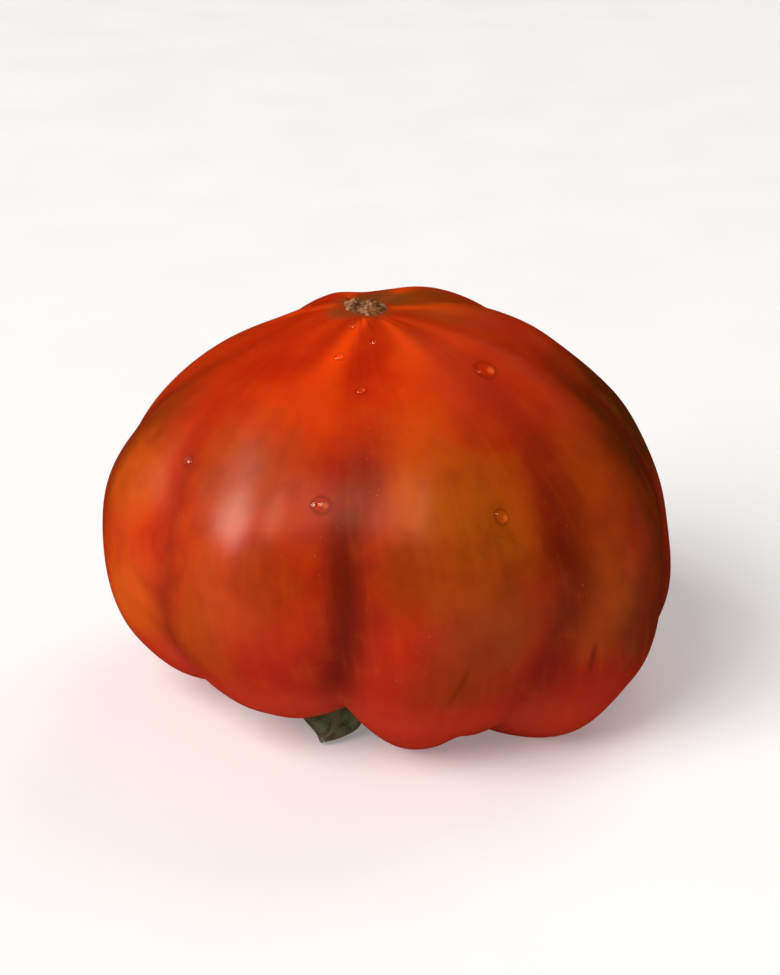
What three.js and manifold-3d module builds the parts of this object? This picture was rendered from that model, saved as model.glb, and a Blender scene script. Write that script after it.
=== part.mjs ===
// A ribbed oxheart tomato as it stands on a table, upside down: the blossom tip is up and the
// fruit rests on its shoulders, with the green calyx folded under it in the stem hollow.
// Four grown pieces: the fruit, the dry blossom remnant on its tip, the calyx and the stem stub.
// Millimetres, +Z up, origin under the middle of the fruit on the table, -Y is the front.
import * as THREE from "three";
import { mergeVertices } from "three/addons/utils/BufferGeometryUtils.js";
import Module from "manifold-3d";

const wasm = await Module();
wasm.setup();

// Driving dimensions of the fruit
const FRUIT_HEIGHT = 62;
const FRUIT_RADIUS = 45.6;
// Where the stem axis stands, so that the fruit's box is centred on the origin
const AXIS_X = -1.7;
const AXIS_Y = 0.4;
// How far the blossom tip leans off the stem axis, to the left
const TIP_LEAN = -3;
// The meridian of a rib, from the tip over the waist to the stem hollow: shares of radius, height
const MERIDIAN = [
  [0, 1.0], [0.2, 0.985], [0.45, 0.94], [0.72, 0.83], [0.92, 0.67], [1.01, 0.49], [1.01, 0.33],
  [0.93, 0.165], [0.76, 0.04], [0.55, -0.02], [0.4, 0.015], [0.27, 0.11], [0.13, 0.2], [0, 0.215],
];
// The furrows between the ribs: degrees from the front towards the right, near the tip, at the
// waist and at the foot, and share of the full depth
const FURROWS = [
  [-58, -47, -54, 0.75], [4, -5, -9, 1.1], [55, 41, 31, 0.85], [92, 84, 76, 0.8],
  [120, 124, 122, 0.9], [171, 166, 163, 0.9], [209, 214, 212, 1.05], [266, 259, 262, 0.8],
];
// Where along the meridian those three are measured
const FURROW_STATIONS = [0.15, 0.36, 0.56];
// How much fuller each rib is than the meridian: near the tip, at the waist, the shoulder, the foot
const RIBS = [
  [-2, 0.3, -2.4, -3.6], [0, 0, -0.8, 0.2], [0.5, 1.6, 4.2, 1.2], [2.4, 2, 4.6, 0.9],
  [2, 0.5, 1.5, 0.5], [0, -1, 0, 0.5], [-2.8, -1.2, -1, 0.5], [-3, -1.8, -1.2, -1.8],
];
// Where along the meridian those four are measured, between its ends
const RIB_STATIONS = [0, 0.2, 0.4, 0.56, 0.7, 0.95];
// Depth of a full furrow where it is deepest, how far down that is, and how round its floor is
const FURROW_DEPTH = 4.8;
const DEEPEST = 0.74;
const FURROW_SOFTNESS = 0.12;
// Short folds inside a rib near the shoulder: degrees, half width in degrees, depth, from, to
const FOLDS = [
  [21, 3, 1.1, 0.56, 0.8], [58, 4.5, 1.5, 0.5, 0.8], [-30, 5, 0.7, 0.55, 0.85],
  [101, 4, 1.1, 0.5, 0.85], [188, 4, 1.5, 0.45, 0.85], [236, 4, 1, 0.5, 0.85],
];
// Slow unevenness of the whole fruit: waves around, waves down, height, turn in degrees
const SWELLS = [[2, 1, 0.5, 40], [5, 2, 0.3, 100], [3, 3, 0.25, 200]];

// Blossom remnant: a dry corky scab on the tip
const SCAB_RADIUS = 3.5;
const SCAB_HEIGHT = 0.9;
// Calyx: the receptacle in the hollow and the sepals that spread from it
const RECEPTACLE_RADIUS = 4.6;
const RECEPTACLE_HEIGHT = 2.4;
const SEPAL_THICKNESS = 0.9;
// Each sepal: degrees from the front, length, half width, sideways bend in degrees, droop of its tip
const SEPALS = [
  [-11, 29, 3.6, -8, 3.8], [-5, 25.5, 1.9, 3, 2.6], [30, 25, 2.3, 2, 2.5],
  [76, 28, 2.3, 1, 3], [121, 24, 2.3, 2, 1.5], [163, 29, 2.7, 1, 3],
  [212, 26, 2.4, -2, 2], [262, 29, 2.5, 3, 3.2], [307, 27, 2.7, -2, 2.6],
];
// Stem stub: the pedicel, broken off at its knuckle
const STUB_RADIUS = 2.1;
const STUB_LENGTH = 6.2;
// Clearance between pieces that touch on the real fruit, and under the sepals
const GAP = 0.35;

const RADIANS = Math.PI / 180;
const clamp = (x) => Math.min(1, Math.max(0, x));
const mix = (a, b, share) => a + (b - a) * share;
// A step with no kink in its curvature
const ease = (x) => clamp(x) ** 3 * (clamp(x) * (6 * clamp(x) - 15) + 10);

// A point of the meridian as a uniform cubic B-spline, mirrored across the axis at both ends
function meridian(t) {
  const last = MERIDIAN.length - 1;
  const at = (i) => {
    if (i < 0) return [-MERIDIAN[1][0], MERIDIAN[1][1]];
    if (i > last) return [-MERIDIAN[last - 1][0], MERIDIAN[last - 1][1]];
    return MERIDIAN[i];
  };
  const x = clamp(t) * last;
  const i = Math.min(Math.floor(x), last - 1);
  const w = x - i;
  const weights = [
    (1 - w) ** 3,
    3 * w ** 3 - 6 * w ** 2 + 4,
    -3 * w ** 3 + 3 * w ** 2 + 3 * w + 1,
    w ** 3,
  ];
  const blend = (k) => weights.reduce((sum, weight, j) => sum + (weight / 6) * at(i - 1 + j)[k], 0);
  return [blend(0) * FRUIT_RADIUS, blend(1) * FRUIT_HEIGHT];
}

const wrap = (list, i) => list[(i + list.length) % list.length];
// The turn from one azimuth to another, between -180 and 180 degrees
const turnBetween = (from, to) => ((((to - from + 180) % 360) + 360) % 360) - 180;

// The azimuth of a furrow; the one after the last is the first again, a turn further on
function furrowAt(i, t) {
  const turns = Math.floor(i / FURROWS.length) * 360;
  const [tip, waist, foot] = wrap(FURROWS, i % FURROWS.length);
  const [atTip, atWaist, atFoot] = FURROW_STATIONS;
  const upper = mix(tip, waist, ease((t - atTip) / (atWaist - atTip)));
  return turns + mix(upper, foot, ease((t - atWaist) / (atFoot - atWaist)));
}

// The rib that an azimuth falls in: its number, and the share of the way across it
function ribAt(degrees, t) {
  const first = furrowAt(0, t);
  const around = ((((degrees - first) % 360) + 360) % 360) + first;
  const rib = FURROWS.findLastIndex((_, i) => furrowAt(i, t) <= around);
  const [low, high] = [furrowAt(rib, t), furrowAt(rib + 1, t)];
  return { rib, share: (around - low) / (high - low) };
}

// How deep the furrow beside a rib lies below its crest: sharp low down, broad near the tip
function furrowDepth({ rib, share }, t) {
  const strength = mix(FURROWS[rib].at(-1), wrap(FURROWS, rib + 1).at(-1), ease(share));
  const soft = FURROW_SOFTNESS;
  const crest = (Math.hypot(Math.sin(Math.PI * share), soft) - soft) / (Math.hypot(1, soft) - soft);
  const sharpness = 1.6 - 0.85 * ease((t - 0.15) / 0.5);
  const fromTip = (t / DEEPEST) * ease(t / 0.25);
  const fullDepth = FURROW_DEPTH * fromTip * (1 - ease((t - DEEPEST) / (1 - DEEPEST)));
  return fullDepth * strength * (1 - crest ** sharpness);
}

// How full a rib is, passing smoothly into the next rib across the furrow
function ribFullness({ rib, share }, t) {
  const other = wrap(RIBS, share < 0.5 ? rib - 1 : rib + 1);
  const toOther = ease(Math.abs(share - 0.5));
  const amounts = [0, ...RIBS[rib].map((own, k) => mix(own, other[k], toOther)), 0];
  const next = RIB_STATIONS.findIndex((station) => t < station);
  if (next < 1) return 0;
  const [low, high] = [RIB_STATIONS[next - 1], RIB_STATIONS[next]];
  return mix(amounts[next - 1], amounts[next], ease((t - low) / (high - low)));
}

function foldDepth(degrees, t) {
  return FOLDS.reduce((sum, [azimuth, width, depth, from, to]) => {
    const away = turnBetween(azimuth, degrees) / width;
    const along = ease((t - from) / 0.12) * (1 - ease((t - to) / 0.12));
    return sum + depth * Math.exp(-(away ** 2)) * along;
  }, 0);
}

function swell(degrees, t) {
  const within = ease(t / 0.3) * (1 - ease((t - 0.7) / 0.3));
  return SWELLS.reduce((sum, [round, down, height, turn]) => {
    const wave = Math.sin((round * degrees + turn) * RADIANS) * Math.sin(down * Math.PI * t);
    return sum + height * wave * within;
  }, 0);
}

// How far the skin stands off the meridian, in mm
function relief(degrees, t) {
  const place = ribAt(degrees, t);
  return ribFullness(place, t) + swell(degrees, t) - furrowDepth(place, t) - foldDepth(degrees, t);
}

// A point of the skin: degrees from the front, and 0 at the tip to 1 in the stem hollow
function skin(degrees, t) {
  const step = 1e-3;
  const [r0, h0] = meridian(t - step);
  const [r1, h1] = meridian(t + step);
  const length = Math.hypot(r1 - r0, h1 - h0);
  const off = relief(degrees, t);
  const [radius, height] = meridian(t);
  const r = radius + (off * -(h1 - h0)) / length;
  const h = height + (off * (r1 - r0)) / length;
  const lean = TIP_LEAN * ease((h / FRUIT_HEIGHT - 0.2) / 0.8);
  return new THREE.Vector3(
    AXIS_X + r * Math.sin(degrees * RADIANS) + lean,
    AXIS_Y - r * Math.cos(degrees * RADIANS),
    h,
  );
}

// The height of the skin over a point: found by walking out from one end of the meridian,
// from 1 in the stem hollow for the underside or from 0 for the tip, until that point is reached
function skinHeight(x, y, end) {
  const centreX = AXIS_X + (end === 0 ? TIP_LEAN : 0);
  const radius = Math.hypot(x - centreX, y - AXIS_Y);
  const degrees = Math.atan2(x - centreX, -(y - AXIS_Y)) / RADIANS;
  const reach = (p) => Math.hypot(p.x - centreX, p.y - AXIS_Y);
  const steps = 160;
  let before = skin(degrees, end);
  for (let i = 1; i <= steps; i += 1) {
    const now = skin(degrees, mix(end, 0.45, i / steps));
    if (reach(now) >= radius) {
      const share = (radius - reach(before)) / (reach(now) - reach(before) || 1);
      return mix(before.z, now.z, share);
    }
    before = now;
  }
  return before.z;
}

// A closed surface through equal rings of points, with a single point at each end
function closedRings(rings) {
  const positions = rings.flat().flatMap((p) => [p.x, p.y, p.z]);
  const count = rings[1].length;
  const indexOf = (ring, n) => {
    if (ring === 0) return 0;
    return 1 + (ring - 1) * count + (rings[ring].length === 1 ? 0 : n);
  };
  const indices = [];
  for (let ring = 0; ring + 1 < rings.length; ring += 1) {
    for (let n = 0; n < count; n += 1) {
      const [a, aNext] = [indexOf(ring, n), indexOf(ring, (n + 1) % count)];
      const [b, bNext] = [indexOf(ring + 1, n), indexOf(ring + 1, (n + 1) % count)];
      if (a !== aNext) indices.push(a, b, aNext);
      if (b !== bNext) indices.push(aNext, b, bNext);
    }
  }
  const geometry = new THREE.BufferGeometry();
  geometry.setAttribute("position", new THREE.Float32BufferAttribute(positions, 3));
  geometry.setIndex(indices);
  return geometry;
}

// A closed three.js geometry as a solid that can be joined
function toSolid(geometry) {
  const bare = geometry.clone();
  bare.deleteAttribute("normal");
  bare.deleteAttribute("uv");
  const merged = mergeVertices(bare, 1e-4);
  const mesh = new wasm.Mesh({
    numProp: 3,
    vertProperties: new Float32Array(merged.attributes.position.array),
    triVerts: new Uint32Array(merged.index.array),
  });
  return new wasm.Manifold(mesh);
}

function fromSolid(solid) {
  const mesh = solid.getMesh();
  const geometry = new THREE.BufferGeometry();
  geometry.setAttribute("position", new THREE.BufferAttribute(mesh.vertProperties, 3));
  geometry.setIndex(new THREE.BufferAttribute(mesh.triVerts, 1));
  geometry.computeVertexNormals();
  return geometry;
}

function piece(name, geometry, colour, roughness) {
  const material = new THREE.MeshStandardMaterial({ color: colour, roughness, metalness: 0 });
  const mesh = new THREE.Mesh(geometry, material);
  mesh.name = name;
  return mesh;
}

// The fruit: columns follow the furrows, rows are closest over the shoulder and in the hollow.
// Where a rib would pass below the table it is pressed flat, which gives the spots it rests on.
function fruitGeometry() {
  const columnsPerRib = 12;
  const rows = 46;
  const place = (rib, across, t) => {
    const p = skin(mix(furrowAt(rib, t), furrowAt(rib + 1, t), across), t);
    p.z = Math.max(p.z, 0);
    return p;
  };
  const ring = (t) =>
    Array.from({ length: FURROWS.length * columnsPerRib }, (_, n) => {
      const rib = Math.floor(n / columnsPerRib);
      return place(rib, n / columnsPerRib - rib, t);
    });
  const rings = [[place(0, 0, 0)]];
  for (let i = 1; i < rows; i += 1) {
    const share = i / rows;
    const t = share + 0.035 * Math.sin(2 * Math.PI * share);
    rings.push(ring(t));
  }
  rings.push([place(0, 0, 1)]);
  return closedRings(rings);
}

// The scab on the tip: an uneven disc with two lumps, bedded on the skin
function scabGeometry() {
  const sectors = 20;
  const circles = [1, 0.8, 0.5, 0.25];
  const centreX = AXIS_X + TIP_LEAN;
  const edge = (turn) => SCAB_RADIUS * (1 + 0.12 * Math.sin(2 * turn + 0.6) + 0.06 * Math.sin(5 * turn));
  const point = (share, turn, top) => {
    const r = share * edge(turn);
    const x = centreX + r * Math.sin(turn);
    const y = AXIS_Y - r * Math.cos(turn);
    const lump = 1 + 0.35 * Math.sin(2 * turn + 1) * share;
    const rise = top ? 0.35 + (SCAB_HEIGHT - 0.35) * (1 - share ** 2) * lump : 0;
    return new THREE.Vector3(x, y, skinHeight(x, y, 0) + GAP + rise);
  };
  const ring = (share, top) =>
    Array.from({ length: sectors }, (_, i) => point(share, (2 * Math.PI * i) / sectors, top));
  return closedRings([
    [point(0, 0, true)],
    ...[...circles].reverse().map((share) => ring(share, true)),
    ...circles.map((share) => ring(share, false)),
    [point(0, 0, false)],
  ]);
}

const hollowTop = skin(0, 1).z - GAP;

// One sepal: a pointed blade that follows the underside of the fruit out through a furrow.
// Its top and bottom faces are set by height, clear of the skin above and the table below.
function sepalGeometry([degrees, length, halfWidth, bend, droop]) {
  const stations = 15;
  const across = [-1, -0.5, 0, 0.5, 1];
  const start = RECEPTACLE_RADIUS * 0.45;
  const widthAt = (u) => halfWidth * (0.6 + 0.4 * Math.sin(Math.PI * u)) * (1 - u ** 4) + 0.25;
  const rings = [];
  for (let i = 0; i < stations; i += 1) {
    const u = i / (stations - 1);
    const r = start + u * (length - start);
    const turn = (degrees + bend * u * u) * RADIANS;
    const [sx, cy] = [Math.sin(turn), -Math.cos(turn)];
    const column = (share) => {
      const side = share * widthAt(u);
      const x = AXIS_X + r * sx - side * cy;
      const y = AXIS_Y + r * cy + side * sx;
      const under = skinHeight(x, y, 1) - GAP;
      const thick = SEPAL_THICKNESS * (1 - 0.25 * Math.abs(share));
      const arch = 0.5 * (1 - share * share);
      const spread = mix(hollowTop - 1.2, 4.6, ease((r - start) / 16)) + arch;
      const top = Math.max(Math.min(under, spread) - droop * ease((u - 0.7) / 0.3), GAP + thick);
      return [new THREE.Vector3(x, y, top), new THREE.Vector3(x, y, top - thick)];
    };
    const columns = across.map(column);
    rings.push([...columns.map((c) => c[0]), ...columns.map((c) => c[1]).reverse()]);
  }
  const middle = (ring) => {
    const sum = ring.reduce((total, p) => total.add(p), new THREE.Vector3());
    return [sum.divideScalar(ring.length)];
  };
  return closedRings([middle(rings[0]), ...rings, middle(rings.at(-1))]);
}

function receptacleGeometry() {
  const [r, top, h] = [RECEPTACLE_RADIUS, hollowTop, RECEPTACLE_HEIGHT];
  const profile = [
    [0, 1], [r * 0.55, 1], [r * 0.85, 0.75], [r, 0.45], [r * 0.9, 0.15], [0, 0],
  ].map(([x, share]) => new THREE.Vector2(x, top - share * h));
  return new THREE.LatheGeometry(profile, 24).rotateX(Math.PI / 2).translate(AXIS_X, AXIS_Y, 0);
}

function calyxGeometry() {
  const blades = SEPALS.map((sepal) => toSolid(sepalGeometry(sepal)));
  return fromSolid(blades.reduce((sum, blade) => sum.add(blade), toSolid(receptacleGeometry())));
}

// The stub: flared where it meets the receptacle, waisted, then swollen at the broken knuckle
function stubGeometry() {
  const top = hollowTop - RECEPTACLE_HEIGHT - GAP;
  const [r, length] = [STUB_RADIUS, STUB_LENGTH];
  const profile = [
    [0, 0.97], [r * 0.85, 1], [r * 1.2, 0.93], [r * 1.25, 0.8], [r, 0.6],
    [r * 0.95, 0.4], [r * 1.1, 0.15], [r * 1.35, 0], [0, 0],
  ].map(([x, share]) => new THREE.Vector2(x, top - share * length));
  return new THREE.LatheGeometry(profile, 20).rotateX(Math.PI / 2).translate(AXIS_X, AXIS_Y, 0);
}

const tomato = new THREE.Group();
tomato.add(
  piece("fruit", fruitGeometry(), 0xb83a12, 0.35),
  piece("blossom_remnant", scabGeometry(), 0x6f4a2a, 0.9),
  piece("calyx", calyxGeometry(), 0x3a4a2c, 0.75),
  piece("stem_stub", stubGeometry(), 0x55603a, 0.8),
);

export default tomato;
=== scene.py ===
# %% [markdown]
# A ribbed tomato lies upside down on a pale table: it rests on its shoulders, its blossom end is up,
# and the wilted sepals peep out from under it. The packed model already says how large each piece is
# and where it goes. It could be modelled again from nothing, but then the looks and the working model
# would drift apart, so the lesson loads that model first and fits every finer piece to it.

# %% Load the frame
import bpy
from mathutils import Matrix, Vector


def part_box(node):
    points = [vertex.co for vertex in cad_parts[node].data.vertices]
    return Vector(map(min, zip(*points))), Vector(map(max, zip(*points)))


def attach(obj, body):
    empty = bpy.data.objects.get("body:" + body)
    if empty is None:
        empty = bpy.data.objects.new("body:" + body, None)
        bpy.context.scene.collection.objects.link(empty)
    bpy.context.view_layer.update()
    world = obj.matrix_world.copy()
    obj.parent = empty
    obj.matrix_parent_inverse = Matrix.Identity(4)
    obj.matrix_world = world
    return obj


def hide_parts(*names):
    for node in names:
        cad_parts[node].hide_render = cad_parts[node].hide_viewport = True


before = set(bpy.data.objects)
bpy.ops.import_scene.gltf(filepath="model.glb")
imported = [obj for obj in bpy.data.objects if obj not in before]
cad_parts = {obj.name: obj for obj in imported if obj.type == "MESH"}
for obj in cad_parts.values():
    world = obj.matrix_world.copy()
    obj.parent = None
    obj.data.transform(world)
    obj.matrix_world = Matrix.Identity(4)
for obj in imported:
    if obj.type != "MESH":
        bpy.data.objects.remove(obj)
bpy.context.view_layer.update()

print("nodes:", sorted(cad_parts))

# %% [markdown]
# Blender works in metres, but a tomato is easier to think about in millimetres. Every size below is
# in millimetres, and only the function that writes a mesh turns it into metres. One helper makes each
# piece: a body is a stack of closed rings between two end points, as a potter would coil it. That one
# form serves for the fruit, the scab, the sepals, the stem and the drops, and it is always watertight.

# %% Measures and mesh helpers
import math
import bpy
import numpy as np

MM = 0.001
BODY = "root"


def ease(x):
    """A soft step from 0 to 1 that starts and ends flat."""
    x = np.clip(x, 0, 1)
    return x**3 * (x * (6 * x - 15) + 10)


def mix(a, b, share):
    """a where share is 0, and b where it is 1."""
    return a + (b - a) * share


def within(x, start, full, fading, end):
    """Rises from 0 to 1 between start and full, and falls back between fading and end."""
    return ease((x - start) / (full - start)) * (1 - ease((x - fading) / (end - fading)))


def turned_from(degrees, other):
    """The signed angle from one azimuth to another, by the shorter way."""
    return (degrees - other + 180) % 360 - 180


def ringed_body(rings, start, end):
    """Points and faces of a closed body: a start point, rings of equal length, and an end point."""
    rows, columns = rings.shape[:2]
    points = np.vstack([start[None], rings.reshape(-1, 3), end[None]])
    index = 1 + np.arange(rows * columns).reshape(rows, columns)
    beside = np.roll(index, -1, 1)
    quads = np.stack([index[:-1], beside[:-1], beside[1:], index[1:]], -1).reshape(-1, 4)
    cap = [(0, b, a) for a, b in zip(index[0], beside[0])]
    last = len(points) - 1
    foot = [(last, a, b) for a, b in zip(index[-1], beside[-1])]
    a, b, c = points[quads[:, 0]], points[quads[:, 1]], points[quads[:, 2]]
    inside_out = np.einsum("ij,ij->i", a - points.mean(0), np.cross(b - a, c - a)).sum() < 0
    faces = [tuple(map(int, face)) for face in [*quads, *cap, *foot]]
    return points, [face[::-1] for face in faces] if inside_out else faces


def joined(bodies):
    """One list of points and one of faces from several closed bodies."""
    points, faces, count = [], [], 0
    for body_points, body_faces in bodies:
        points.append(body_points)
        faces += [tuple(i + count for i in face) for face in body_faces]
        count += len(body_points)
    return np.vstack(points), faces


def make_piece(name, body, material, node=None, marks=None):
    """Writes a body in millimetres as a smooth mesh in metres, and says what it is in the model."""
    points, faces = body
    mesh = bpy.data.meshes.new(name)
    mesh.from_pydata((points * MM).tolist(), [], faces)
    for mark, values in (marks or {}).items():
        kind, field = ("FLOAT", "value") if values.ndim == 1 else ("FLOAT_VECTOR", "vector")
        mesh.attributes.new(mark, kind, "POINT").data.foreach_set(field, values.ravel())
    mesh.shade_smooth()
    mesh.materials.append(material)
    piece = bpy.data.objects.new(name, mesh)
    bpy.context.scene.collection.objects.link(piece)
    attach(piece, BODY)
    if node:
        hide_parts(node)
    size = (points.max(0) - points.min(0)).round(2)
    print(f"{name}: {len(faces)} faces, {size} mm")
    return piece


print("a size of 1 is", MM, "metres")


# %% [markdown]
# The fruit is a solid of revolution that grew unevenly. Its meridian, the line from the blossom tip
# over the side and down into the stem hollow, is one smooth curve. A sculpted mesh could give the same
# look, but a formula can be asked for the skin at any place, so a drop or a sepal can be set exactly
# on it. A place on the skin is an azimuth in degrees, from the front to the right, and t, which runs
# from 0 at the tip to 1 at the bottom of the hollow.

# %% The meridian
FRUIT_HEIGHT = 62.0
FRUIT_RADIUS = 45.6
AXIS = np.array((-1.7, 0.4))
TIP_LEAN = -3.0
MERIDIAN = np.array([
    (0, 1), (0.2, 0.985), (0.45, 0.94), (0.72, 0.83), (0.92, 0.67), (1.01, 0.49), (1.01, 0.33),
    (0.93, 0.165), (0.76, 0.04), (0.55, -0.02), (0.4, 0.015), (0.27, 0.11), (0.13, 0.2), (0, 0.215),
])


def meridian(t):
    """Radius and height at t, on a uniform cubic B-spline that the rows of MERIDIAN pull along."""
    last = len(MERIDIAN) - 1
    mirror = np.array([-1, 1])
    controls = np.vstack([MERIDIAN[1] * mirror, MERIDIAN, MERIDIAN[-2] * mirror])
    x = np.clip(t, 0, 1) * last
    i = np.minimum(x.astype(int), last - 1)
    w = x - i
    weights = [(1 - w) ** 3, 3 * w**3 - 6 * w**2 + 4, -3 * w**3 + 3 * w**2 + 3 * w + 1, w**3]
    blend = sum(weight[..., None] / 6 * controls[i + k] for k, weight in enumerate(weights))
    return blend[..., 0] * FRUIT_RADIUS, blend[..., 1] * FRUIT_HEIGHT


tip_height = float(meridian(np.array(0.0))[1])
print("the tip is", round(tip_height, 1), "mm up")

# %% [markdown]
# Eight furrows divide the fruit into ribs. They wander: each has its own azimuth near the tip, at the
# waist and at the foot, and its own depth, the fourth number of its row. A furrow is a narrow valley
# between two full ribs, so its section is a softened cusp and not a sine wave. Each rib is a little
# fuller or flatter than its neighbour, in millimetres at four heights, which is what makes the fruit
# look grown and not turned.

# %% Furrows and ribs
FURROWS = np.array([
    (-58, -47, -54, 0.75), (4, -5, -9, 1.1), (55, 41, 31, 0.85), (92, 84, 76, 0.8),
    (120, 124, 122, 0.9), (171, 166, 163, 0.9), (209, 214, 212, 1.05), (266, 259, 262, 0.8),
])
FURROW_STATIONS = (0.15, 0.36, 0.56)
FURROW_DEPTH = 4.8
DEEPEST = 0.74
DEPTH_REACHED = 0.25
FURROW_SOFTNESS = 0.12
TIP_SHARPNESS = 1.6
SHARPNESS_LOST = 0.85
RIBS = np.array([
    (-2, 0.3, -2.4, -3.6), (0, 0, -0.8, 0.2), (0.5, 1.6, 4.2, 1.2), (2.4, 2, 4.6, 0.9),
    (2, 0.5, 1.5, 0.5), (0, -1, 0, 0.5), (-2.8, -1.2, -1, 0.5), (-3, -1.8, -1.2, -1.8),
])
RIB_STATIONS = np.array([0, 0.2, 0.4, 0.56, 0.7, 0.95])


def furrows_at(t):
    """The furrows' azimuths at t, with the first one again a turn further on."""
    t = np.asarray(t, float)[..., None]
    tip, waist, foot = FURROWS[:, 0], FURROWS[:, 1], FURROWS[:, 2]
    a, b, c = FURROW_STATIONS
    at = mix(mix(tip, waist, ease((t - a) / (b - a))), foot, ease((t - b) / (c - b)))
    return np.concatenate([at, at[..., :1] + 360], -1)


def rib_at(degrees, t):
    """The rib that holds a place, and how far across it the place is."""
    edges = furrows_at(t)
    first = edges[..., 0]
    around = (degrees - first) % 360 + first
    rib = np.clip((edges <= around[..., None]).sum(-1) - 1, 0, len(FURROWS) - 1)
    low = np.take_along_axis(edges, rib[..., None], -1)[..., 0]
    high = np.take_along_axis(edges, rib[..., None] + 1, -1)[..., 0]
    return rib, (around - low) / (high - low)


def groove_share(degrees, t):
    """0 on a rib's crown, and about 1 at the bottom of a furrow."""
    rib, share = rib_at(degrees, t)
    strength = mix(FURROWS[rib, 3], FURROWS[(rib + 1) % len(FURROWS), 3], ease(share))
    soft = FURROW_SOFTNESS
    crest = (np.hypot(np.sin(np.pi * share), soft) - soft) / (np.hypot(1, soft) - soft)
    sharpness = TIP_SHARPNESS - SHARPNESS_LOST * ease((t - FURROW_STATIONS[0]) / 0.5)
    return strength * (1 - crest**sharpness)


def rib_fullness(degrees, t):
    """How far a rib stands out, eased round to its neighbours and down its own stations."""
    rib, share = rib_at(degrees, t)
    other = np.where(share < 0.5, rib - 1, rib + 1) % len(RIBS)
    amounts = RIBS[rib] + (RIBS[other] - RIBS[rib]) * ease(np.abs(share - 0.5))[..., None]
    zero = np.zeros_like(amounts[..., :1])
    amounts = np.concatenate([zero, amounts, zero], -1)
    k = np.clip(np.searchsorted(RIB_STATIONS, t, side="right"), 1, len(RIB_STATIONS) - 1)
    above = np.take_along_axis(amounts, (k - 1)[..., None], -1)[..., 0]
    below = np.take_along_axis(amounts, k[..., None], -1)[..., 0]
    down_station = (t - RIB_STATIONS[k - 1]) / (RIB_STATIONS[k] - RIB_STATIONS[k - 1])
    return mix(above, below, ease(down_station))


WAIST = FURROW_STATIONS[1]
print("furrows at the waist:", furrows_at(WAIST)[:-1].round())

# %% [markdown]
# Large tomatoes also have short folds near the shoulders, and slow swells that push a side out or in.
# The folds are narrow gaussian dents that fade in and out down the skin: a row gives where one is, its
# width, its depth, and the t at which it starts and ends. A swell is a wave with so many turns around
# and half turns down, a height in millimetres and a turn of its own. Together with the furrows
# they give the relief, the distance that the skin stands off the meridian, along its normal. The whole
# fruit leans a little at the tip. These terms are the ones that the solid model is made from, so this
# surface and that solid agree to a fraction of a millimetre.

# %% Folds, swells and the skin
FOLDS = [
    (21, 3, 1.1, 0.56, 0.8), (58, 4.5, 1.5, 0.5, 0.8), (-30, 5, 0.7, 0.55, 0.85),
    (101, 4, 1.1, 0.5, 0.85), (188, 4, 1.5, 0.45, 0.85), (236, 4, 1, 0.5, 0.85),
]
FOLD_FADE = 0.12
SWELLS = [(2, 1, 0.5, 40), (5, 2, 0.3, 100), (3, 3, 0.25, 200)]
SWELL_REACH = (0, 0.3, 0.7, 1)
LEAN_START = 0.2
STEP = 1e-3


def relief(degrees, t):
    """How far the skin stands off the meridian, in millimetres."""
    depth_here = FURROW_DEPTH * (t / DEEPEST) * within(t, 0, DEPTH_REACHED, DEEPEST, 1)
    stands = rib_fullness(degrees, t) - depth_here * groove_share(degrees, t)
    for at, width, depth, start, end in FOLDS:
        away = turned_from(degrees, at) / width
        shown = within(t, start, start + FOLD_FADE, end, end + FOLD_FADE)
        stands = stands - depth * np.exp(-(away**2)) * shown
    for around, down, height, turn in SWELLS:
        wave = np.sin(np.radians(around * degrees + turn)) * np.sin(down * np.pi * t)
        stands = stands + height * wave * within(t, *SWELL_REACH)
    return stands


def skin(degrees, t):
    """The plain skin, as the solid has it: x, y, z in millimetres."""
    degrees, t = np.broadcast_arrays(np.asarray(degrees, float), np.asarray(t, float))
    r0, h0 = meridian(t - STEP)
    r1, h1 = meridian(t + STEP)
    length = np.hypot(r1 - r0, h1 - h0)
    off = relief(degrees, t)
    radius, height = meridian(t)
    r = radius - off * (h1 - h0) / length
    h = height + off * (r1 - r0) / length
    lean = TIP_LEAN * ease((h / FRUIT_HEIGHT - LEAN_START) / (1 - LEAN_START))
    turn = np.radians(degrees)
    return np.stack([AXIS[0] + r * np.sin(turn) + lean, AXIS[1] - r * np.cos(turn), h], -1)


def outward(surface, degrees, t):
    """Unit normals of a surface function, from two small steps across it."""
    around = surface(degrees + 0.25, t) - surface(degrees - 0.25, t)
    down = surface(degrees, np.minimum(t + 2 * STEP, 1)) - surface(degrees, np.maximum(t - 2 * STEP, 0))
    normal = np.cross(down, around)
    return normal / np.maximum(np.linalg.norm(normal, axis=-1, keepdims=True), 1e-9)


print("the waist in front is at", skin(0, WAIST).round(1))

# %% [markdown]
# Real skin is never as fair as a spline. Looked at along a low light it has soft lumps a centimetre
# apart, fine puckers where it shrinks round the blossom scar, and wrinkles that run down into the stem
# hollow. They could be left to a bump map, but the outline and the highlights would stay too clean, so
# they are geometry here: sums of sine waves from a seeded draw. Where the fruit touches the table its
# weight flattens it: a soft floor lets no height go below nought, and rounds the skin's way onto it.

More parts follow.
